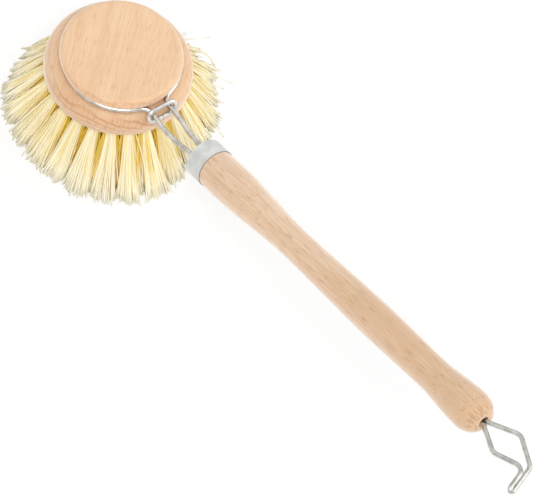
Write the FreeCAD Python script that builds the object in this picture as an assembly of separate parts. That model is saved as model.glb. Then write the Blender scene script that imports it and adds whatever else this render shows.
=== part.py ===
import FreeCAD, Part
import math
import os

# Dish brush with a round replaceable head. A turned beech block carries tufts of plant fibre, and one spring
# wire loops round the block's groove, passes through a sliding link and ends in a turned beech handle.
# Millimetres. The origin is the centre of the bristle tips, where the brush stands. +Z runs up the axis of the
# head, and +X points out over the handle.

Vector = FreeCAD.Vector
ORIGIN = Vector(0, 0, 0)
ACROSS = Vector(0, 1, 0)
UP = Vector(0, 0, 1)
FULL_TURN = 360.0
RIGHT_ANGLE = 90.0

# One named overrun for every cut, and the distance under which two points are the same
OVERRUN = 1.0
SAME_POINT = 1e-7

# Wire of the clamp, and the thinner wires of the hook and the link
WIRE_DIAMETER = 1.8
HOOK_WIRE_DIAMETER = 1.6
LINK_WIRE_DIAMETER = 1.4

# Beech block of the head, from the bristle tips up
TUFT_HEIGHT = 24.0
FLANGE_DIAMETER = 50.0
FLANGE_HEIGHT = 7.2
FLANGE_EDGE_ROUND = 0.7
LEDGE_WIDTH = 2.4
SHOULDER_HEIGHT = 4.5
KNOB_DIAMETER = 41.4
KNOB_HEIGHT = 3.0
KNOB_TOP_ROUND = 2.0
KNOB_LOWER_ROUND = 0.5
GROOVE_DEPTH = 3.1
GROOVE_CLEARANCE = 0.25
LOOP_CLEARANCE = 0.15
LOOP_SHIFT = 0.8

# Tufts: four rings, drilled on lines that fan out towards the tips
RIM_MARGIN = 4.5
TIP_RING_DIAMETER = 64.0
TIP_GAP = 1.1
HOLE_ROOF = 1.75
HOLE_WALL = 0.45
TUFT_CLEARANCE = 0.05
TUFT_COLLAR = 0.2
RING_NAMES = ("outer", "middle", "inner", "centre")
RING_COUNTS = (24, 16, 8, 1)
FIRST_TUFT_ANGLE = 5.4
ring_radius_shares = (1.0, 0.683, 0.366, 0.0)

# Flat-wire anchors that hold the folded fibres in the holes
ANCHOR_BITE = 0.3
ANCHOR_DEPTH = 1.8
ANCHOR_THICKNESS = 0.35
ANCHOR_FLOOR = 0.5

# Spring-wire clamp: a loop pulled towards the handle, a neck, and two legs that bow out a little, then rise along
# the handle into it
NECK_RADIUS = 4.2
NECK_HALF_SPACING = 3.2
NECK_SPLAY = 6.0
LINK_NECK_GAP = 0.2
LINK_OVERHANG = 1.1
BOW_OFFSET = 3.5
LEG_BEND_RADIUS = 12.0
LEG_REACH = 22.45
LEG_HALF_SPACING = 2.2
LEG_APPROACH = 3.0
LEG_INSERT = 20.0
LEG_HOLE_CLEARANCE = 0.05
LEG_HOLE_SPARE = 0.5

# Sliding link that holds the neck shut
LINK_LEAN = 21.0
LINK_DROP = 0.1
LINK_PLAY = 0.5
LINK_SIDE_CLEARANCE = 0.15
LINK_CORNER_RADIUS = 2.0
LINK_SEAM = 0.2

# Turned beech handle and its ferrule
HANDLE_RISE = 3.6
HANDLE_PITCH = 17.8
HANDLE_LENGTH = 141.7
SHOULDER_DIAMETER = 13.7
WAIST_DIAMETER = 10.3
SWELL_DIAMETER = 11.75
NECK_DIAMETER = 11.0
BULB_DIAMETER = 13.5
END_FLAT_DIAMETER = 5.2
FERRULE_DIAMETER = 13.9
FERRULE_LENGTH = 7.0
FERRULE_WALL = 0.5
FERRULE_PROUD = 0.22
FERRULE_FIT = 0.02
FERRULE_EDGE_ROUND = 0.2
shoulder_place_share = 0.104
waist_place_share = 0.342
swell_place_share = 0.64
neck_place_share = 0.827
bulb_place_share = 0.954
bezier_handle_share = 1 / 3
end_round_share = 0.55
quarter_round_share = 0.5523

# Wire hook at the end of the handle: a diamond loop and a doubled tip bent to one side
HOOK_INSERT = 20.0
HOOK_BORE_CLEARANCE = 0.1
HOOK_BORE_SPARE = 1.0
HOOK_LEG_OFFSET = 0.9
HOOK_MOUTH = 1.0
HOOK_DIAMOND_REACH = 10.6
HOOK_DIAMOND_HALF_WIDTH = 5.45
HOOK_FAR_BEND_REACH = 21.0
HOOK_NEAR_TIP_RUN = 8.3
HOOK_TIP_REACH = 24.7
HOOK_TIP_SIDE = 9.95
HOOK_TIP_RADIUS = 0.9
HOOK_TIP_TILT = 65.0
HOOK_BEND_RADIUS = 3.7

# Places worked out from the sizes above
wire_radius = WIRE_DIAMETER / 2
hook_wire_radius = HOOK_WIRE_DIAMETER / 2
link_wire_radius = LINK_WIRE_DIAMETER / 2
flange_radius = FLANGE_DIAMETER / 2
knob_radius = KNOB_DIAMETER / 2
groove_radius = knob_radius - GROOVE_DEPTH
groove_floor = TUFT_HEIGHT + FLANGE_HEIGHT
groove_roof = groove_floor + WIRE_DIAMETER + 2 * GROOVE_CLEARANCE
knob_top = groove_roof + KNOB_HEIGHT
loop_radius = groove_radius + LOOP_CLEARANCE + wire_radius + LOOP_SHIFT
loop_height = groove_floor + GROOVE_CLEARANCE + wire_radius

splay = math.radians(NECK_SPLAY)
neck_centre_y = NECK_HALF_SPACING + NECK_RADIUS * math.cos(splay)
neck_from_loop = math.sqrt((loop_radius + NECK_RADIUS) ** 2 - neck_centre_y ** 2)
neck_centre_x = LOOP_SHIFT + neck_from_loop
neck_x = neck_centre_x + NECK_RADIUS * math.sin(splay)
link_x = max(neck_x + LINK_NECK_GAP, flange_radius - LINK_OVERHANG)
bow_x = link_x + BOW_OFFSET
bow_y = NECK_HALF_SPACING + (bow_x - neck_x) * math.tan(splay)

pitch = math.radians(HANDLE_PITCH)
handle_start = Vector(link_x + LEG_REACH, 0, loop_height + HANDLE_RISE)
handle_along = Vector(math.cos(pitch), 0, math.sin(pitch))
handle_above = Vector(-math.sin(pitch), 0, math.cos(pitch))
handle_placement = FreeCAD.Placement(handle_start, FreeCAD.Rotation(ACROSS, RIGHT_ANGLE - HANDLE_PITCH))
leg_rise_x = handle_start.x - HANDLE_RISE / math.tan(pitch)
leg_end_x = handle_start.x - LEG_APPROACH * math.cos(pitch)
leg_closing_share = (leg_rise_x - bow_x) / (leg_end_x - bow_x)
leg_rise_y = bow_y + (LEG_HALF_SPACING - bow_y) * leg_closing_share


def on_handle(along, across, above=0.0):
    """Point measured from the middle of the handle's front face."""
    return handle_start + handle_along * along + ACROSS * across + handle_above * above


def profile_arc(centre_r, centre_z, radius, start, end):
    """Arc in the turning plane, between two angles in degrees."""
    angles = [math.radians(a) for a in (start, (start + end) / 2, end)]
    return Part.Arc(*[Vector(centre_r + radius * math.cos(a), 0, centre_z + radius * math.sin(a)) for a in angles])


def bezier(*poles):
    """Curve in the turning plane from (radius, height) poles."""
    curve = Part.BezierCurve()
    curve.setPoles([Vector(r, 0, z) for r, z in poles])
    return curve


def turned(*steps):
    """Solid turned about Z from (radius, height) corners and curves, joined in order by straight lines."""
    edges = []
    here = None
    first = None
    for step in steps:
        is_point = isinstance(step, tuple)
        start = Vector(step[0], 0, step[1]) if is_point else step.value(step.FirstParameter)
        end = start if is_point else step.value(step.LastParameter)
        if here is not None and here.distanceToPoint(start) > SAME_POINT:
            edges.append(Part.LineSegment(here, start).toShape())
        if not is_point:
            edges.append(step.toShape())
        first = first or start
        here = end
    edges.append(Part.LineSegment(here, first).toShape())
    return Part.Face(Part.Wire(edges)).revolve(ORIGIN, UP, FULL_TURN)


def bent_run(points, bend_radius):
    """Edges of a wire bent at each inner point: straight runs joined by tangent arcs."""
    edges = []
    here = points[0]
    for before, corner, after in zip(points, points[1:], points[2:]):
        incoming = (corner - before).normalize()
        outgoing = (after - corner).normalize()
        half_turn = incoming.getAngle(outgoing) / 2
        setback = bend_radius * math.tan(half_turn)
        inward = (outgoing - incoming).normalize()
        start = corner - incoming * setback
        end = corner + outgoing * setback
        middle = corner + inward * (bend_radius / math.cos(half_turn) - bend_radius)
        edges.append(Part.LineSegment(here, start).toShape())
        edges.append(Part.Arc(start, middle, end).toShape())
        here = end
    edges.append(Part.LineSegment(here, points[-1]).toShape())
    return edges


def round_wire(name, edges, radius):
    """Round wire swept along the edges, with its volume set against its length."""
    path = Part.Wire(Part.sortEdges(edges)[0])
    first_edge = path.OrderedEdges[0]
    start = path.OrderedVertexes[0].Point
    at_first = first_edge.valueAt(first_edge.FirstParameter).distanceToPoint(start) < SAME_POINT
    tangent = first_edge.tangentAt(first_edge.FirstParameter if at_first else first_edge.LastParameter)
    section = Part.Wire(Part.Circle(start, tangent, radius).toShape())
    wire = path.makePipeShell([section], True, False)
    expected = math.pi * radius ** 2 * path.Length
    print(f"{name}: length {path.Length:.2f}, volume {wire.Volume:.2f}, section times length {expected:.2f}")
    return wire


def make_ring(share, count):
    """Places of one ring of tufts: mouth and tip circles, lean, and the depth of its holes."""
    mouth_radius = (flange_radius - RIM_MARGIN) * share
    tip_radius = TIP_RING_DIAMETER / 2 * share
    lean = math.atan2(tip_radius - mouth_radius, TUFT_HEIGHT)
    hole_rise = FLANGE_HEIGHT - HOLE_ROOF
    end_radius = mouth_radius - hole_rise * math.tan(lean)
    return {"count": count, "mouth": mouth_radius, "tip": tip_radius, "lean": lean, "end": end_radius,
            "depth": hole_rise / math.cos(lean), "length": TUFT_HEIGHT / math.cos(lean)}


rings = [make_ring(share, count) for share, count in zip(ring_radius_shares, RING_COUNTS)]
ringed = [ring for ring in rings if ring["count"] > 1]
tuft_tip_radius = min(ring["tip"] * math.sin(math.pi / ring["count"]) for ring in ringed) - TIP_GAP / 2
hole_radius = min(ring["end"] * math.sin(math.pi / ring["count"]) for ring in ringed) - HOLE_WALL / 2
tuft_root_radius = hole_radius - TUFT_CLEARANCE


def ring_placement(ring, number):
    """Placement that sets Z down a tuft, from the end of its hole to its tip, at one place of its ring."""
    lean = math.degrees(ring["lean"])
    down_and_out = FreeCAD.Rotation(ACROSS, 2 * RIGHT_ANGLE - lean)
    hole_end = Vector(ring["end"], 0, TUFT_HEIGHT + FLANGE_HEIGHT - HOLE_ROOF)
    angle = FIRST_TUFT_ANGLE + FULL_TURN * number / ring["count"]
    turn = FreeCAD.Placement(ORIGIN, FreeCAD.Rotation(UP, angle))
    return turn.multiply(FreeCAD.Placement(hole_end, down_and_out))


def placed(shape, placement):
    """Copy of a shape at a placement."""
    copy = shape.copy()
    copy.Placement = placement
    return copy


def make_hole(ring):
    """Drill for one tuft, along Z from the end of the hole out past the mouth."""
    mouth_overrun = hole_radius * math.tan(ring["lean"]) + OVERRUN
    return Part.makeCylinder(hole_radius, ring["depth"] + mouth_overrun)


def make_anchor():
    """Flat wire staple across the hole, wider than the hole so that its ends bite into the wood."""
    width = 2 * (hole_radius + ANCHOR_BITE)
    corner = Vector(-width / 2, -ANCHOR_THICKNESS / 2, ANCHOR_FLOOR)
    return Part.makeBox(width, ANCHOR_THICKNESS, ANCHOR_DEPTH, corner)


def make_tuft(ring):
    """Bundle of fibre folded over its anchor: a straight root in the hole that opens to the tip."""
    collar = ring["depth"] + hole_radius * math.tan(ring["lean"]) + TUFT_COLLAR
    past_tip = ring["depth"] + ring["length"] + tuft_tip_radius * math.tan(ring["lean"])
    bundle = turned((0, TUFT_CLEARANCE), (tuft_root_radius, TUFT_CLEARANCE), (tuft_root_radius, collar),
                    (tuft_tip_radius, past_tip), (0, past_tip))
    return bundle.cut(make_anchor())


def trim_flat(tuft):
    """Tuft cut level with the others, where the brush stands."""
    reach = TIP_RING_DIAMETER
    below = Part.makeBox(2 * reach, 2 * reach, TUFT_HEIGHT, Vector(-reach, -reach, -TUFT_HEIGHT))
    return tuft.cut(below)


def make_block():
    """Drilled lower part of the turned beech head: flange and rounded shoulder, up to the floor of the groove."""
    shoulder_start = groove_floor - SHOULDER_HEIGHT
    ledge_radius = groove_radius + LEDGE_WIDTH
    shoulder_run = flange_radius - ledge_radius
    shoulder = bezier((flange_radius, shoulder_start),
                      (flange_radius, shoulder_start + SHOULDER_HEIGHT * quarter_round_share),
                      (ledge_radius + shoulder_run * quarter_round_share, groove_floor),
                      (ledge_radius, groove_floor))
    block = turned(
        (0, TUFT_HEIGHT),
        profile_arc(flange_radius - FLANGE_EDGE_ROUND, TUFT_HEIGHT + FLANGE_EDGE_ROUND, FLANGE_EDGE_ROUND, -90, 0),
        shoulder,
        (0, groove_floor))
    holes = [placed(make_hole(ring), ring_placement(ring, n)) for ring in rings for n in range(ring["count"])]
    return block.cut(holes).cut(make_anchors())


def make_knob():
    """Upper part of the same turned head, one with the block in the wood: core of the groove and flat knob."""
    return turned(
        (0, groove_floor),
        (groove_radius, groove_floor),
        (groove_radius, groove_roof),
        profile_arc(knob_radius - KNOB_LOWER_ROUND, groove_roof + KNOB_LOWER_ROUND, KNOB_LOWER_ROUND, -90, 0),
        profile_arc(knob_radius - KNOB_TOP_ROUND, knob_top - KNOB_TOP_ROUND, KNOB_TOP_ROUND, 0, 90),
        (0, knob_top))


def make_anchors():
    """All the anchors, one in each hole."""
    anchor = make_anchor()
    return [placed(anchor, ring_placement(ring, n)) for ring in rings for n in range(ring["count"])]


def clamp_half(side):
    """Half of the clamp's path, from the end of one leg to the back of the loop."""
    def at(x, y, z):
        return Vector(x, side * y, z)

    def on_circle(angle):
        return at(LOOP_SHIFT + loop_radius * math.cos(angle), loop_radius * math.sin(angle), loop_height)

    leg = [on_handle(LEG_INSERT, side * LEG_HALF_SPACING), on_handle(-LEG_APPROACH, side * LEG_HALF_SPACING),
           at(leg_rise_x, leg_rise_y, loop_height), at(bow_x, bow_y, loop_height),
           at(neck_x, NECK_HALF_SPACING, loop_height)]
    centre = at(neck_centre_x, neck_centre_y, loop_height)
    loop_start = math.atan2(neck_centre_y, neck_from_loop)
    to_leg = (leg[-1] - centre).normalize()
    to_loop = (on_circle(loop_start) - centre).normalize()
    neck_middle = centre + (to_leg + to_loop).normalize() * NECK_RADIUS
    neck = Part.Arc(leg[-1], neck_middle, on_circle(loop_start))
    loop = Part.Arc(on_circle(loop_start), on_circle((loop_start + math.pi) / 2), on_circle(math.pi))
    return bent_run(leg, LEG_BEND_RADIUS) + [neck.toShape(), loop.toShape()]


def make_clamp_wire():
    """One unbroken spring wire: leg, neck, loop in the groove, neck, leg."""
    return round_wire("clamp_wire", clamp_half(1) + clamp_half(-1), wire_radius)


def make_link():
    """Bent wire link round both legs, leaning back over the head, with its butt seam below."""
    lean = math.radians(LINK_LEAN)
    centre = Vector(link_x, 0, loop_height - LINK_DROP)
    lean_up = Vector(-math.sin(lean), 0, math.cos(lean))
    half_width = bow_y + wire_radius + link_wire_radius + LINK_SIDE_CLEARANCE
    half_height = (wire_radius + link_wire_radius + LINK_PLAY) / math.cos(lean)
    corners = [(LINK_SEAM / 2, -half_height), (half_width, -half_height), (half_width, half_height),
               (-half_width, half_height), (-half_width, -half_height), (-LINK_SEAM / 2, -half_height)]
    bends = [centre + ACROSS * y + lean_up * h for y, h in corners]
    return round_wire("slide_link", bent_run(bends, LINK_CORNER_RADIUS), link_wire_radius)


def make_handle():
    """Turned beech handle: ferrule seat, shoulder, waist, swell, neck and rounded bulb end, drilled at both ends."""
    seat_radius = FERRULE_DIAMETER / 2 - FERRULE_WALL - FERRULE_FIT
    stations = [(FERRULE_DIAMETER / 2 - FERRULE_PROUD, FERRULE_LENGTH),
                (SHOULDER_DIAMETER / 2, shoulder_place_share * HANDLE_LENGTH),
                (WAIST_DIAMETER / 2, waist_place_share * HANDLE_LENGTH),
                (SWELL_DIAMETER / 2, swell_place_share * HANDLE_LENGTH),
                (NECK_DIAMETER / 2, neck_place_share * HANDLE_LENGTH),
                (BULB_DIAMETER / 2, bulb_place_share * HANDLE_LENGTH)]
    curves = []
    for (r0, z0), (r1, z1) in zip(stations, stations[1:]):
        pull = (z1 - z0) * bezier_handle_share
        curves.append(bezier((r0, z0), (r0, z0 + pull), (r1, z1 - pull), (r1, z1)))
    bulb_radius, bulb_place = stations[-1]
    end_radius = END_FLAT_DIAMETER / 2
    end_round = bezier((bulb_radius, bulb_place),
                       (bulb_radius, bulb_place + (HANDLE_LENGTH - bulb_place) * end_round_share),
                       (end_radius + (bulb_radius - end_radius) * end_round_share, HANDLE_LENGTH),
                       (end_radius, HANDLE_LENGTH))
    body = turned((0, 0), (seat_radius, 0), (seat_radius, FERRULE_LENGTH), *curves, end_round, (0, HANDLE_LENGTH))
    leg_hole = Part.makeCylinder(wire_radius + LEG_HOLE_CLEARANCE, LEG_INSERT + LEG_HOLE_SPARE + OVERRUN)
    leg_holes = [leg_hole.translated(Vector(0, side * LEG_HALF_SPACING, -OVERRUN)) for side in (1, -1)]
    bore_radius = HOOK_LEG_OFFSET + hook_wire_radius + HOOK_BORE_CLEARANCE
    bore_depth = HOOK_INSERT + HOOK_BORE_SPARE
    hook_bore = Part.makeCylinder(bore_radius, bore_depth + OVERRUN, Vector(0, 0, HANDLE_LENGTH - bore_depth))
    return placed(body.cut(leg_holes + [hook_bore]), handle_placement)


def make_ferrule():
    """Thin metal sleeve pressed over the front end of the handle, so that the legs can't split it."""
    outer = FERRULE_DIAMETER / 2
    inner = outer - FERRULE_WALL
    round_off = FERRULE_EDGE_ROUND
    sleeve = turned((inner, 0), profile_arc(outer - round_off, round_off, round_off, -90, 0),
                    profile_arc(outer - round_off, FERRULE_LENGTH - round_off, round_off, 0, 90),
                    (inner, FERRULE_LENGTH))
    return placed(sleeve, handle_placement)


def make_hook():
    """One wire from the handle's bore: both sides of a diamond, then a doubled tip turned back in a tight bend."""
    def at(along, across, above=0.0):
        return on_handle(HANDLE_LENGTH + along, across, above)

    tilt = math.radians(HOOK_TIP_TILT)
    tip = at(HOOK_TIP_REACH, -HOOK_TIP_SIDE)
    far_bend = at(HOOK_FAR_BEND_REACH, 0)
    tip_along = (tip - far_bend).normalize()
    tip_across = handle_above.cross(tip_along)
    offset = (tip_across * math.cos(tilt) - handle_above * math.sin(tilt)) * HOOK_TIP_RADIUS
    near_end = tip - offset
    near = [at(-HOOK_INSERT, -HOOK_LEG_OFFSET), at(HOOK_MOUTH, -HOOK_LEG_OFFSET),
            at(HOOK_DIAMOND_REACH, -HOOK_DIAMOND_HALF_WIDTH), near_end - tip_along * HOOK_NEAR_TIP_RUN, near_end]
    far = [at(-HOOK_INSERT, HOOK_LEG_OFFSET), at(HOOK_MOUTH, HOOK_LEG_OFFSET),
           at(HOOK_DIAMOND_REACH, HOOK_DIAMOND_HALF_WIDTH), far_bend + offset, tip + offset]
    tip_bend = Part.Arc(near_end, tip + tip_along * HOOK_TIP_RADIUS, far[-1])
    edges = bent_run(near, HOOK_BEND_RADIUS) + [tip_bend.toShape()] + bent_run(far[::-1], HOOK_BEND_RADIUS)
    return round_wire("hanging_hook", edges, hook_wire_radius)


def make_parts():
    """Every piece under its node name."""
    parts = {
        "handle": make_handle(),
        "ferrule": make_ferrule(),
        "clamp_wire": make_clamp_wire(),
        "slide_link": make_link(),
        "hanging_hook": make_hook(),
        "brush_block": make_block(),
        "block_knob": make_knob(),
        "tuft_anchors": Part.makeCompound(make_anchors()),
    }
    for name, ring in zip(RING_NAMES, rings):
        tuft = make_tuft(ring)
        for n in range(ring["count"]):
            node = f"{name}_tuft_{n + 1:02d}" if ring["count"] > 1 else f"{name}_tuft"
            parts[node] = trim_flat(placed(tuft, ring_placement(ring, n)))
    return parts


os.makedirs("parts", exist_ok=True)
for node, shape in make_parts().items():
    shape.exportStep(f"parts/{node}.step")
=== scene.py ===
import bmesh
import bpy
import math
import numpy as np
from mathutils import Euler, Matrix, Vector


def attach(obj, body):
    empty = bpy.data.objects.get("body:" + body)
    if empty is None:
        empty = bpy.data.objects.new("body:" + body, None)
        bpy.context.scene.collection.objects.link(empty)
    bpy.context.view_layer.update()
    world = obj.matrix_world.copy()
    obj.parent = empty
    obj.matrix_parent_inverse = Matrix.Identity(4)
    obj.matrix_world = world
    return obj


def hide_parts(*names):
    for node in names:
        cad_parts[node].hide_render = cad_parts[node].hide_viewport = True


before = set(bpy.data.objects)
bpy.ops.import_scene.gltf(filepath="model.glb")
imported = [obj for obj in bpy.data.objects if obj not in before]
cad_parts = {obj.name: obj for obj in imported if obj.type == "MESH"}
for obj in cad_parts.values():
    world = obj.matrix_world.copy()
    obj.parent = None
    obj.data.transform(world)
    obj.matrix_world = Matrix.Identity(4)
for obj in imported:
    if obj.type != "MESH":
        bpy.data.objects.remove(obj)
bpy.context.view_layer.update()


# Head of the brush: one turned piece of bare beech, with a flange, a groove for the wire and a flat knob. The
# grain runs across the head, so growth rings and rays show on two sides of the flange, and flecks on the knob.
# It is sanded and left without finish.
def shader_node(tree, kind, inputs, **settings):
    made = tree.nodes.new("ShaderNode" + kind)
    for name, value in settings.items():
        setattr(made, name, value)
    for socket, value in inputs.items():
        if isinstance(value, bpy.types.NodeSocket):
            tree.links.new(value, made.inputs[socket])
        else:
            made.inputs[socket].default_value = value
    return made


def math_node(tree, operation, first, second=0.0, third=0.0):
    return shader_node(tree, "Math", {0: first, 1: second, 2: third}, operation=operation).outputs[0]


def ramp_node(tree, value, low, high, to_low=0.0, to_high=1.0):
    return shader_node(tree, "MapRange", {"Value": value, "From Min": low, "From Max": high, "To Min": to_low,
                                          "To Max": to_high}, interpolation_type="SMOOTHSTEP").outputs["Result"]


def mix_node(tree, share, first, second):
    # A colour mix has its share, its two colours and its result in sockets 0, 6, 7 and 2.
    return shader_node(tree, "Mix", {0: share, 6: first, 7: second}, data_type="RGBA").outputs[2]


def noise_node(tree, vector, scale=1.0, detail=2.0, roughness=0.5):
    return shader_node(tree, "TexNoise", {"Vector": vector, "Scale": scale, "Detail": detail,
                                          "Roughness": roughness}).outputs[0]


def stretched(tree, vector, scale):
    return shader_node(tree, "VectorMath", {0: vector, 1: scale}, operation="MULTIPLY").outputs[0]


def new_finish(name, roughness=0.5, metallic=0.0, specular=0.5):
    finish = bpy.data.materials.new(name)
    finish.use_nodes = True
    shader = finish.node_tree.nodes["Principled BSDF"]
    shader.inputs["Roughness"].default_value = roughness
    shader.inputs["Metallic"].default_value = metallic
    shader.inputs["Specular IOR Level"].default_value = specular
    return finish, finish.node_tree, shader


def screen_colour(red, green, blue):
    parts = [c / 255 for c in (red, green, blue)]
    return [c / 12.92 if c <= 0.04045 else ((c + 0.055) / 1.055) ** 2.4 for c in parts] + [1.0]


MM_PER_METRE = 1000


def beech(name, turn, middle, pith, pale, warm, late, fleck, fleck_size, fleck_share, ring_depth, end_depth,
          deeper=0.0):
    """Bare beech. turn and middle set X along the grain, and pith is where the growth rings centre, in mm."""
    finish, tree, shader = new_finish(name, specular=0.28)
    shader.inputs["Sheen Weight"].default_value = 1.0
    shader.inputs["Sheen Roughness"].default_value = 0.5
    shader.inputs["Sheen Tint"].default_value = (1.0, 0.93, 0.88, 1)
    place = shader_node(tree, "TexCoord", {})
    to_grain = Euler(turn).to_matrix()
    wood = shader_node(tree, "Mapping", {"Vector": place.outputs["Object"], "Location": -(to_grain @ Vector(middle)),
                                         "Rotation": turn, "Scale": [MM_PER_METRE] * 3}).outputs[0]
    along_grain = to_grain.transposed() @ Vector((1, 0, 0))
    facing = shader_node(tree, "VectorMath", {0: place.outputs["Normal"], 1: along_grain}, operation="DOT_PRODUCT")
    least_facing, full_facing = 0.28, 0.7
    end_grain = ramp_node(tree, math_node(tree, "ABSOLUTE", facing.outputs["Value"]), least_facing, full_facing)
    side_grain = math_node(tree, "SUBTRACT", 1.0, end_grain)

    # Growth rings wander round the pith, and each darkens towards the end of its year.
    ring_width, ring_wander = 1.7, 3.4
    late_start, late_end = 0.5, 0.95
    wander = noise_node(tree, stretched(tree, wood, (0.02, 0.07, 0.07)))
    from_pith = shader_node(tree, "VectorMath", {0: wood, 1: (0, *pith)}, operation="SUBTRACT").outputs[0]
    across = stretched(tree, from_pith, (0, 1, 1))
    radius = shader_node(tree, "VectorMath", {0: across}, operation="LENGTH").outputs["Value"]
    year = math_node(tree, "MULTIPLY_ADD", wander, ring_wander, math_node(tree, "DIVIDE", radius, ring_width))
    late_wood = ramp_node(tree, math_node(tree, "FRACT", year), late_start, late_end)
    ring = math_node(tree, "MULTIPLY", late_wood,
                     math_node(tree, "MULTIPLY_ADD", end_grain, end_depth - ring_depth, ring_depth))

    # Fine streaks and broad clouds carry the tone from pale to warm, and end grain is warmer.
    noise_low, noise_high = 0.3, 0.7
    streak_share, cloud_share, end_warmth = 0.5, 0.5, 0.5
    streak = noise_node(tree, stretched(tree, wood, (0.09, 1.5, 1.5)), detail=3.0, roughness=0.6)
    cloud = noise_node(tree, stretched(tree, wood, (0.02, 0.11, 0.11)))
    tone = math_node(tree, "ADD",
                     math_node(tree, "MULTIPLY", ramp_node(tree, cloud, noise_low, noise_high), cloud_share),
                     math_node(tree, "MULTIPLY", ramp_node(tree, streak, noise_low, noise_high), streak_share))
    tone = math_node(tree, "MULTIPLY_ADD", end_grain, end_warmth, tone)
    if deeper:
        deeper_from, deepest_from = 45, 105
        length_wise = shader_node(tree, "SeparateXYZ", {0: wood}).outputs["X"]
        tone = math_node(tree, "ADD", tone, ramp_node(tree, length_wise, deeper_from, deepest_from, 0.0, deeper))
    colour = mix_node(tree, ring, mix_node(tree, tone, pale, warm), late)

    # Flecks lie along the grain on the sides, in a share of the cells.
    fleck_fade = 0.25
    fleck_edge, fleck_core = 0.36, 0.14
    length, width = fleck_size
    spots = shader_node(tree, "TexVoronoi", {"Vector": stretched(tree, wood, (1 / length, 1 / width, 1 / width)),
                                             "Scale": 1.0}, feature="F1")
    chosen = shader_node(tree, "SeparateColor", {"Color": spots.outputs["Color"]}).outputs[0]
    chosen = ramp_node(tree, chosen, fleck_share, fleck_share - fleck_fade)
    flecks = math_node(tree, "MULTIPLY", ramp_node(tree, spots.outputs["Distance"], fleck_edge, fleck_core), chosen)
    flecks = math_node(tree, "MULTIPLY", flecks, side_grain)

    # Rays are short lines out from the pith, on end grain.
    rays_per_radian, rays_per_mm, ray_depth = 60.0, 0.28, 0.7
    ray_edge, ray_core = 0.4, 0.1
    split = shader_node(tree, "SeparateXYZ", {0: across})
    around = math_node(tree, "ARCTAN2", split.outputs["Y"], split.outputs["Z"])
    ray_place = shader_node(tree, "CombineXYZ", {
        0: math_node(tree, "MULTIPLY", around, rays_per_radian),
        1: math_node(tree, "MULTIPLY", radius, rays_per_mm)}).outputs[0]
    rays = shader_node(tree, "TexVoronoi", {"Vector": ray_place, "Scale": 1.0}, feature="F1",
                       voronoi_dimensions="2D")
    ray_lines = ramp_node(tree, rays.outputs["Distance"], ray_edge, ray_core)
    ray_lines = math_node(tree, "MULTIPLY", math_node(tree, "MULTIPLY", ray_lines, end_grain), ray_depth)
    marks = math_node(tree, "MAXIMUM", flecks, ray_lines)
    tree.links.new(mix_node(tree, marks, colour, fleck), shader.inputs["Base Color"])

    # Streaks vary the gloss and stand up a little, and marks are pores that lie lower.
    smoothest, gloss_range = 0.45, 0.2
    streak_relief = 0.5
    rough = math_node(tree, "MULTIPLY_ADD", streak, gloss_range, smoothest)
    tree.links.new(rough, shader.inputs["Roughness"])
    relief = math_node(tree, "SUBTRACT", math_node(tree, "MULTIPLY", streak, streak_relief), marks)
    bump = shader_node(tree, "Bump", {"Strength": 0.12, "Distance": 0.0002, "Height": relief})
    tree.links.new(bump.outputs[0], shader.inputs["Normal"])
    return finish


GRAIN_ANGLE = math.radians(132.7)
HEAD_PITH = (9, -46)
HEAD_FLECK = (5.2, 0.3)
HEAD_FLECK_SHARE = 0.62
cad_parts["brush_block"].data.materials[0] = beech(
    "Block_Beech", turn=(0, 0, -GRAIN_ANGLE), middle=(0, 0, 0), pith=HEAD_PITH, pale=screen_colour(234, 199, 163),
    warm=screen_colour(221, 178, 137), late=screen_colour(192, 143, 106), fleck=screen_colour(200, 153, 112),
    fleck_size=HEAD_FLECK, fleck_share=HEAD_FLECK_SHARE, ring_depth=0.12, end_depth=0.8)
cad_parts["block_knob"].data.materials[0] = beech(
    "Knob_Beech", turn=(0, 0, -GRAIN_ANGLE), middle=(0, 0, 0), pith=HEAD_PITH, pale=screen_colour(240, 206, 168),
    warm=screen_colour(228, 186, 146), late=screen_colour(204, 156, 116), fleck=screen_colour(212, 167, 126),
    fleck_size=HEAD_FLECK, fleck_share=HEAD_FLECK_SHARE, ring_depth=0.08, end_depth=0.35)


# Anchors: short flat pieces of plated stapling wire, one driven across each hole to hold the folded fibres. They
# sit deep in the block, and only the feet of the tufts show.
ANCHOR_CLOUD = 900.0
anchor_steel, tree, shader = new_finish("Stapling_Wire", roughness=0.4, metallic=1.0)
place = shader_node(tree, "TexCoord", {})
grey = noise_node(tree, place.outputs["Object"], ANCHOR_CLOUD)
tree.links.new(mix_node(tree, grey, screen_colour(150, 146, 136), screen_colour(196, 190, 178)),
               shader.inputs["Base Color"])
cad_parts["tuft_anchors"].data.materials[0] = anchor_steel


# Tufts: bundles of stiff plant fibre, folded over the anchors, which fan out to the trimmed tips. Each strand is a
# thin rod that opens out of its hole, bows a little and ends at its own height. Strands inside a tuft and near the
# roots are painted golden, for light that has passed through other fibres into the shaded inside of the tuft, and
# those outside pale; low down the tips are painted paler still, as light in place of the shade between them. Some
# tufts lean or are wispy, and a few strands spring out of line.
STRANDS = 300
STRAND_RADIUS = 0.0002
STRAND_SIDES = 5
STRAND_CUTS = 5
TIP_FULLNESS = 1.3
THINNEST, THICKEST, STRAY_THICKNESS = 0.75, 1.15, 0.7
MOUTH_HEIGHT = 0.024
ROOT_DEPTH = 0.0024
BUNDLE_RADIUS = 0.00145
FLOOR_GAP = 0.00005
FIRST_TUFT_ANGLE = math.radians(5.4)
TIP_SHIFT = np.array([0.0005, 0.0004, 0.0])
# Tips fill a square with rounded corners, gather in clumps and scatter, each by itself and the tuft as a whole.
SQUARENESS = 0.6
CLUMPS = 16
CLUMP_PULL = 0.4
TIP_SCATTER = 0.1
TUFT_SCATTER = 0.06
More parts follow.
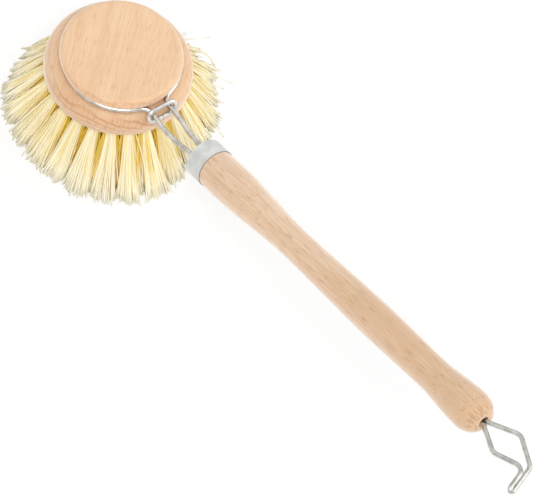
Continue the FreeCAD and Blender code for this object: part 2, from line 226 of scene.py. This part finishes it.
# Share of strands that stray, and how many times further out they may end.
STRAYS = (0.02, 1.5)
WISPY_STRAYS = (0.06, 2.3)
LEAST_STRAY = 1.1
# Strands that stand further in than this, of the hole's radius, spread wider and sooner than those in front.
INNER_SIDE = -0.25
INNER_SPREAD = 1.3
INNER_OPENING, FRONT_OPENING = 0.75, 1.5
# Trimmed ends, and the strands' bow, which is widest halfway to BOW_CLOSES. A few have sprung and bow much more.
TRIM_HEIGHT = 0.0002
TRIM_UNEVENNESS = 0.0007
BOW = 0.00035
BOW_CLOSES, BOW_GAIN = 1.25, 2.0
SPRUNG_SHARE, SPRUNG_BOW = 0.025, 6
# Tone: most strands are straw, few are dull, and those behind PALE_SIDE stay painted golden for longer, for light
# that has passed through the fibres into the shade inside the tuft.
DULL_RARITY = 2.2
PALE_SIDE = 0.3
GOLDEN_LENGTH = 1.8
# Lean of single tufts at the tips, outward and sideways.
LEANING = {"outer_tuft_04": (0.0010, 0.0), "outer_tuft_05": (0.0014, 0.0), "outer_tuft_06": (0.0018, 0.0),
           "outer_tuft_07": (0.0018, 0.0), "outer_tuft_12": (-0.0034, 0.0), "outer_tuft_13": (-0.0024, 0.0022),
           "outer_tuft_14": (-0.0006, 0.0010), "outer_tuft_16": (0.0009, 0.0), "outer_tuft_17": (0.0009, 0.0),
           "outer_tuft_21": (0.0008, 0.0), "outer_tuft_22": (0.0010, 0.0), "outer_tuft_23": (0.0012, 0.0),
           "outer_tuft_24": (0.0010, 0.0)}
WISPY = ("outer_tuft_04", "outer_tuft_05", "outer_tuft_06", "outer_tuft_07", "outer_tuft_08")
# Name, number of tufts, radius at the mouths and at the tips, spread at the tips, and share of the length painted
# golden, for light through the fibres.
RINGS = (("outer", 24, 0.0205, 0.0325, (0.0036, 0.0042), 0.08),
         ("middle", 16, 0.0140015, 0.0255, (0.0036, 0.0064), 1.4),
         ("inner", 8, 0.007503, 0.0135, (0.0036, 0.0060), 1.4),
         ("centre", 1, 0.0, 0.0, (0.0042, 0.0042), 1.4))

# Painted light: low down, the outer strands are mixed towards near white in place of the shade that falls between the
# tips.
LIT_TIPS_HEIGHT = 0.013
LIT_TIPS_SHARE = 0.6
fibre, tree, shader = new_finish("Plant_Fibre", specular=0.3)
tone = shader_node(tree, "Attribute", {}, attribute_name="strand_tone").outputs["Fac"]
along = shader_node(tree, "Attribute", {}, attribute_name="strand_along").outputs["Fac"]
# Painted light: strands are golden where strand_along is low, near the roots and inside the tufts, for light that has
# passed through the fibres into the shade there, and pale where it is 1.
straw = mix_node(tree, along, screen_colour(240, 211, 86), screen_colour(253, 246, 218))
dull = mix_node(tree, along, screen_colour(230, 194, 50), screen_colour(245, 225, 148))
place = shader_node(tree, "TexCoord", {})
height = shader_node(tree, "SeparateXYZ", {0: place.outputs["Object"]}).outputs["Z"]
painted_tip_light = math_node(tree, "MULTIPLY", along, ramp_node(tree, height, 0.0, LIT_TIPS_HEIGHT, LIT_TIPS_SHARE, 0.0))
colour = mix_node(tree, painted_tip_light, mix_node(tree, tone, straw, dull), screen_colour(255, 252, 238))
tree.links.new(colour, shader.inputs["Base Color"])

# One strand, as a rod of length 1 and radius 1 about Z, which every tuft copies and bends.
strand = bmesh.new()
bmesh.ops.create_cone(strand, cap_ends=True, segments=STRAND_SIDES, radius1=1.0, radius2=TIP_FULLNESS, depth=1.0)
long_edges = [e for e in strand.edges if abs(e.verts[0].co.z - e.verts[1].co.z) > 0.5]
bmesh.ops.subdivide_edges(strand, edges=long_edges, cuts=STRAND_CUTS)
strand_mesh = bpy.data.meshes.new("strand")
strand.to_mesh(strand_mesh)
strand.free()
rod_shape = np.array([v.co for v in strand_mesh.vertices])
rod_along = rod_shape[:, 2] + 0.5

SEED = 7
chance = np.random.default_rng(SEED)
for ring_name, count, mouth_radius, tip_radius, tip_spread, golden in RINGS:
    lean = math.atan2(tip_radius - mouth_radius, MOUTH_HEIGHT)
    reach = MOUTH_HEIGHT / math.cos(lean)
    for number in range(count):
        node = f"{ring_name}_tuft_{number + 1:02d}" if count > 1 else f"{ring_name}_tuft"
        bundle = bmesh.new()
        for _ in range(STRANDS):
            bundle.from_mesh(strand_mesh)
        mesh = bpy.data.meshes.new(node + "_fibres")
        bundle.to_mesh(mesh)
        bundle.free()

        turn = FIRST_TUFT_ANGLE + 2 * math.pi * number / count
        down = np.array([math.sin(lean) * math.cos(turn), math.sin(lean) * math.sin(turn), -math.cos(lean)])
        outward = np.array([math.cos(lean) * math.cos(turn), math.cos(lean) * math.sin(turn), math.sin(lean)])
        sideways = np.array([-math.sin(turn), math.cos(turn), 0.0])
        mouth = np.array([mouth_radius * math.cos(turn), mouth_radius * math.sin(turn), MOUTH_HEIGHT])

        # Place of each strand in its hole, as a share of the hole's radius, and of its tip in the tuft.
        ray = np.sqrt(chance.random(STRANDS))
        angle = 2 * math.pi * chance.random(STRANDS)
        foot = np.stack([ray * np.cos(angle), ray * np.sin(angle)], 1)
        to_square = np.maximum(np.abs(np.cos(angle)), np.abs(np.sin(angle)))[:, None] ** SQUARENESS
        squared = foot / to_square
        clump = chance.uniform(-1, 1, (CLUMPS, 2))
        nearest = np.argmin(np.linalg.norm(squared[:, None] - clump[None], axis=2), axis=1)
        far = squared + (clump[nearest] - squared) * chance.uniform(0, CLUMP_PULL, (STRANDS, 1))
        far = far + chance.normal(0, TIP_SCATTER, (STRANDS, 2)) + chance.normal(0, TUFT_SCATTER, 2)
        stray_share, most_stray = WISPY_STRAYS if node in WISPY else STRAYS
        stray = chance.random(STRANDS) < stray_share
        far[stray] *= chance.uniform(LEAST_STRAY, most_stray, (stray.sum(), 1))
        inner = foot[:, 0] < INNER_SIDE
        far[inner, 1] *= INNER_SPREAD
        spread = np.array(tip_spread) * far + np.array(LEANING.get(node, (0.0, 0.0)))

        # Course of each strand: t is 0 at the mouth of the hole and about 1 at the trimmed tip.
        end_height = np.abs(chance.normal(0, TRIM_UNEVENNESS, STRANDS)) + TRIM_HEIGHT
        end_share = (MOUTH_HEIGHT + spread[:, 0] * math.sin(lean) - end_height) / MOUTH_HEIGHT
        start_share = -ROOT_DEPTH / reach
        t = start_share + (end_share - start_share)[:, None] * rod_along[None, :]
        opening_power = np.where(inner, INNER_OPENING, FRONT_OPENING)
        opening = (np.clip(t, 0, None) ** opening_power[:, None])[:, :, None]
        bow = chance.normal(0, BOW, (STRANDS, 2))
        bow[chance.random(STRANDS) < SPRUNG_SHARE] *= SPRUNG_BOW
        sway = (np.clip(t, 0, 1) * (BOW_CLOSES - t))[:, :, None] * BOW_GAIN
        offset = (BUNDLE_RADIUS * foot)[:, None, :] * (1 - opening) + spread[:, None, :] * opening
        offset = offset + sway * bow[:, None, :]
        line = mouth + down * reach * t[:, :, None] + offset[:, :, :1] * outward + offset[:, :, 1:] * sideways
        line = line + TIP_SHIFT * opening
        radius = STRAND_RADIUS * chance.uniform(THINNEST, THICKEST, STRANDS) * np.where(stray, STRAY_THICKNESS, 1.0)
        spots = line + radius[:, None, None] * (rod_shape[None, :, :1] * outward + rod_shape[None, :, 1:2] * sideways)
        spots[:, :, 2] = np.maximum(spots[:, :, 2], FLOOR_GAP)
        mesh.vertices.foreach_set("co", spots.reshape(-1))

        tones = mesh.attributes.new("strand_tone", "FLOAT", "POINT")
        tones.data.foreach_set("value", np.repeat(chance.random(STRANDS) ** DULL_RARITY, len(rod_shape)))
        places = mesh.attributes.new("strand_along", "FLOAT", "POINT")
        # Strands further in stay painted golden further along, for light through the fibres into the shaded inside.
        pale_from = golden + GOLDEN_LENGTH * np.clip(PALE_SIDE - foot[:, :1], 0, 1)
        places.data.foreach_set("value", (np.clip(t / pale_from, 0, 1) ** 2).reshape(-1))
        mesh.shade_smooth()
        mesh.update()
        mesh.materials.append(fibre)
        tuft = bpy.data.objects.new(node + "_fibres", mesh)
        bpy.context.scene.collection.objects.link(tuft)
        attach(tuft, "head")
        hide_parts(node)


# Clamp: one length of plated spring wire, bent into a loop for the groove and two legs for the handle. The plating
# is bright and lightly clouded.
def wire_steel(name, dull, bright, roughness):
    cloud_scale, cloud_low, cloud_high, gloss_range = 420.0, 0.35, 0.65, 0.14
    finish, tree, shader = new_finish(name, metallic=1.0)
    place = shader_node(tree, "TexCoord", {})
    cloud = noise_node(tree, place.outputs["Object"], cloud_scale, detail=3.0)
    colour = mix_node(tree, ramp_node(tree, cloud, cloud_low, cloud_high), dull, bright)
    tree.links.new(colour, shader.inputs["Base Color"])
    rough = math_node(tree, "MULTIPLY_ADD", cloud, gloss_range, roughness - gloss_range / 2)
    tree.links.new(rough, shader.inputs["Roughness"])
    return finish


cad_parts["clamp_wire"].data.materials[0] = wire_steel(
    "Clamp_Wire", screen_colour(200, 196, 189), screen_colour(224, 220, 213), roughness=0.22)


# Handle: a stick of bare beech, turned to a shoulder, waist, swell, neck and bulb, and drilled at both ends. The
# grain runs along it, with short dark flecks, and the wood is deeper in tone towards the bulb.
HANDLE_PITCH = math.radians(17.8)
HANDLE_START = (46.35, 0, 35.95)
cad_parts["handle"].data.materials[0] = beech(
    "Handle_Beech", turn=(0, HANDLE_PITCH, 0), middle=HANDLE_START, pith=(16, -38), pale=screen_colour(241, 214, 187),
    warm=screen_colour(218, 181, 144), late=screen_colour(204, 162, 122), fleck=screen_colour(174, 128, 90),
    fleck_size=(6.8, 0.28), fleck_share=0.5, ring_depth=0.16, end_depth=0.3, deeper=0.4)


# Ferrule: a short sleeve of matt plated sheet, pressed over the front end of the handle so that the wire can't
# split it. The plating is lightly mottled, and a thin band along its rear edge is painted dark, as shade in the
# step to the wood.
FERRULE_LENGTH = 0.007
# Where the painted shade along the rear edge starts and where it is full, measured back from the wood.
STEP_SHADE_START, STEP_SHADE_FULL = 0.00026, 0.00012
MOTTLE_SCALE, MOTTLE_LOW, MOTTLE_HIGH = 330.0, 0.35, 0.65
PLATING_SMOOTHEST, PLATING_GLOSS_RANGE = 0.55, 0.2
ferrule_zinc, tree, shader = new_finish("Ferrule_Plating", metallic=1.0)
place = shader_node(tree, "TexCoord", {})
mottle = noise_node(tree, place.outputs["Object"], MOTTLE_SCALE, detail=4.0)
plating = mix_node(tree, ramp_node(tree, mottle, MOTTLE_LOW, MOTTLE_HIGH), screen_colour(218, 219, 216),
                   screen_colour(231, 232, 229))
handle_along = Vector((math.cos(HANDLE_PITCH), 0, math.sin(HANDLE_PITCH)))
along = shader_node(tree, "VectorMath", {0: place.outputs["Object"], 1: handle_along}, operation="DOT_PRODUCT")
seat_end = handle_along.dot(Vector(HANDLE_START)) / MM_PER_METRE + FERRULE_LENGTH
# Painted shade: the last quarter millimetre of plating against the wood turns dull dark grey, as shade in the step to
# the wood.
painted_step_shade = ramp_node(tree, along.outputs["Value"], seat_end - STEP_SHADE_START, seat_end - STEP_SHADE_FULL)
tree.links.new(mix_node(tree, painted_step_shade, plating, screen_colour(160, 150, 144)), shader.inputs["Base Color"])
rough = math_node(tree, "MULTIPLY_ADD", mottle, PLATING_GLOSS_RANGE, PLATING_SMOOTHEST)
tree.links.new(rough, shader.inputs["Roughness"])
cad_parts["ferrule"].data.materials[0] = ferrule_zinc


# Link: a short bright wire bent round both legs of the clamp, with its ends butted below. It slides along the legs
# and holds the loop shut.
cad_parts["slide_link"].data.materials[0] = wire_steel(
    "Link_Wire", screen_colour(212, 212, 211), screen_colour(234, 234, 233), roughness=0.16)


# Hook: one plated wire pressed into the end of the handle, bent to a diamond loop with a doubled tip. It is a shade
# darker than the clamp.
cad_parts["hanging_hook"].data.materials[0] = wire_steel(
    "Hook_Wire", screen_colour(188, 187, 181), screen_colour(216, 215, 209), roughness=0.22)


# Table and light: a plain white top in a soft tent of light, with one soft sun from the camera's side and a weaker
# one from the right. Metal mirrors a sky that is darker near the horizon. The top shows as white, with the object's
# shadow on it.
FLOOR_HALF = 3.0
SHADOW_SHARE = 0.3
FLOOR_BOUNCE = 0.92
WHITE = (1, 1, 1, 1)
table = bmesh.new()
bmesh.ops.create_grid(table, x_segments=1, y_segments=1, size=FLOOR_HALF)
table_mesh = bpy.data.meshes.new("table_top")
table.to_mesh(table_mesh)
table.free()
table_top = bpy.data.objects.new("table_top", table_mesh)
bpy.context.scene.collection.objects.link(table_top)
white_top = bpy.data.materials.new("White_Top")
white_top.use_nodes = True
tree = white_top.node_tree
tree.nodes.clear()
path = shader_node(tree, "LightPath", {})
seen = math_node(tree, "MAXIMUM", path.outputs["Is Camera Ray"],
                 math_node(tree, "MAXIMUM", path.outputs["Is Glossy Ray"], path.outputs["Is Transmission Ray"]))
shadowed = shader_node(tree, "BsdfDiffuse", {"Color": (SHADOW_SHARE, SHADOW_SHARE, SHADOW_SHARE, 1)})
lift = shader_node(tree, "Emission", {"Color": WHITE, "Strength": 1 - SHADOW_SHARE})
shown = shader_node(tree, "AddShader", {0: shadowed.outputs[0], 1: lift.outputs[0]})
bounced = shader_node(tree, "BsdfDiffuse", {"Color": (FLOOR_BOUNCE, FLOOR_BOUNCE, FLOOR_BOUNCE, 1)})
chosen = shader_node(tree, "MixShader", {0: seen, 1: bounced.outputs[0], 2: shown.outputs[0]})
shader_node(tree, "OutputMaterial", {"Surface": chosen.outputs[0]})
table_mesh.materials.append(white_top)


def sky_fade(tree, height, horizon, overhead):
    full_height = 0.8
    fade = shader_node(tree, "ValToRGB", {"Fac": height})
    low, high = fade.color_ramp.elements
    low.position, low.color = 0.0, (*horizon, 1)
    high.position, high.color = full_height, (*overhead, 1)
    return shader_node(tree, "Background", {"Color": fade.outputs["Color"], "Strength": 1.0}).outputs[0]


sky = bpy.data.worlds.new("Soft_Sky")
bpy.context.scene.world = sky
sky.use_nodes = True
tree = sky.node_tree
tree.nodes.clear()
height = shader_node(tree, "SeparateXYZ", {0: shader_node(tree, "TexCoord", {}).outputs["Generated"]}).outputs["Z"]
tent = sky_fade(tree, height, horizon=(0.85, 0.85, 0.85), overhead=(0.52, 0.52, 0.52))
mirrored = sky_fade(tree, height, horizon=(0.5, 0.5, 0.51), overhead=(1.0, 1.0, 1.0))
backdrop = shader_node(tree, "Background", {"Color": WHITE, "Strength": 1.0})
path = shader_node(tree, "LightPath", {})
shiny = math_node(tree, "MAXIMUM", path.outputs["Is Glossy Ray"], path.outputs["Is Transmission Ray"])
chosen = shader_node(tree, "MixShader", {0: shiny, 1: tent, 2: mirrored})
chosen = shader_node(tree, "MixShader", {0: path.outputs["Is Camera Ray"], 1: chosen.outputs[0],
                                         2: backdrop.outputs[0]})
shader_node(tree, "OutputWorld", {"Surface": chosen.outputs[0]})

for name, energy, width, towards in (("Soft_Sun", 1.4, 30, (0.38, -0.34, 0.93)),
                                     ("Side_Light", 0.7, 50, (0.45, 0.75, 0.48))):
    sun = bpy.data.lights.new(name, "SUN")
    sun.energy = energy
    sun.angle = math.radians(width)
    lamp = bpy.data.objects.new(name, sun)
    lamp.rotation_euler = Vector(towards).to_track_quat("Z", "Y").to_euler()
    bpy.context.scene.collection.objects.link(lamp)


# Camera: above and beside the handle, at the photograph's angle and distance. Light is followed through many bounces,
# which carry it in between the fibres.
PIXELS_WIDE = 533
FOCAL_PIXELS = 3106.3042
AZIMUTH, ELEVATION, ROLL = math.radians(36.785), math.radians(60.2477), math.radians(19.3768)
AIM = Vector((0.0833756, -0.000936, 0.0342))
DISTANCE = 1.0
BOUNCES = 16
back = Vector((math.sin(AZIMUTH) * math.cos(ELEVATION), -math.cos(AZIMUTH) * math.cos(ELEVATION),
               math.sin(ELEVATION)))
level = Vector((math.cos(AZIMUTH), math.sin(AZIMUTH), 0))
rise = back.cross(level)
right = level * math.cos(ROLL) + rise * math.sin(ROLL)
above = rise * math.cos(ROLL) - level * math.sin(ROLL)
lens = bpy.data.cameras.new("Camera")
lens.sensor_fit = "HORIZONTAL"
lens.sensor_width = 36.0
lens.lens = FOCAL_PIXELS * lens.sensor_width / PIXELS_WIDE
lens.clip_start = 0.01
camera = bpy.data.objects.new("Camera", lens)
camera.matrix_world = Matrix.Translation(AIM + back * DISTANCE) @ Matrix((right, above, back)).transposed().to_4x4()
bpy.context.scene.collection.objects.link(camera)
bpy.context.scene.camera = camera
bpy.context.scene.view_settings.view_transform = "Standard"
bpy.context.scene.cycles.max_bounces = BOUNCES
bpy.context.scene.cycles.diffuse_bounces = BOUNCES
